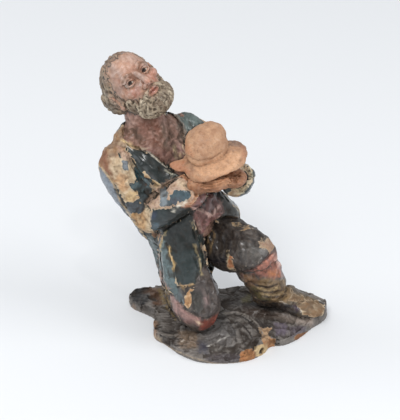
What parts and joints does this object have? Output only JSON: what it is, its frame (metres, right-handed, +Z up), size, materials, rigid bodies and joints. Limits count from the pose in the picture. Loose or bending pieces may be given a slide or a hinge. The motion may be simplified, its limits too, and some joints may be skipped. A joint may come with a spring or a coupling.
{
  "type": "carved kneeling shepherd figure",
  "caption": "Painted carved figure of a bearded man kneeling on one knee, leaning back and holding a round hat before his chest, in one piece with a rough ground base.",
  "frame": {"origin": "on the flat underside of the ground base, below the middle of the base", "axes": "+Z up, -Y towards the viewer on the display side, +X along the base's long way, the way the forward boot points"},
  "size_m": [0.1287, 0.0746, 0.1644],
  "materials": {
    "painted_wood": "old oil paint over gesso on carved wood, glossy dark green coat, worn and chipped, bare at the edges"
  },
  "bodies": {
    "root": {"kneeling_figure": "painted_wood"}
  },
  "joints": []
}
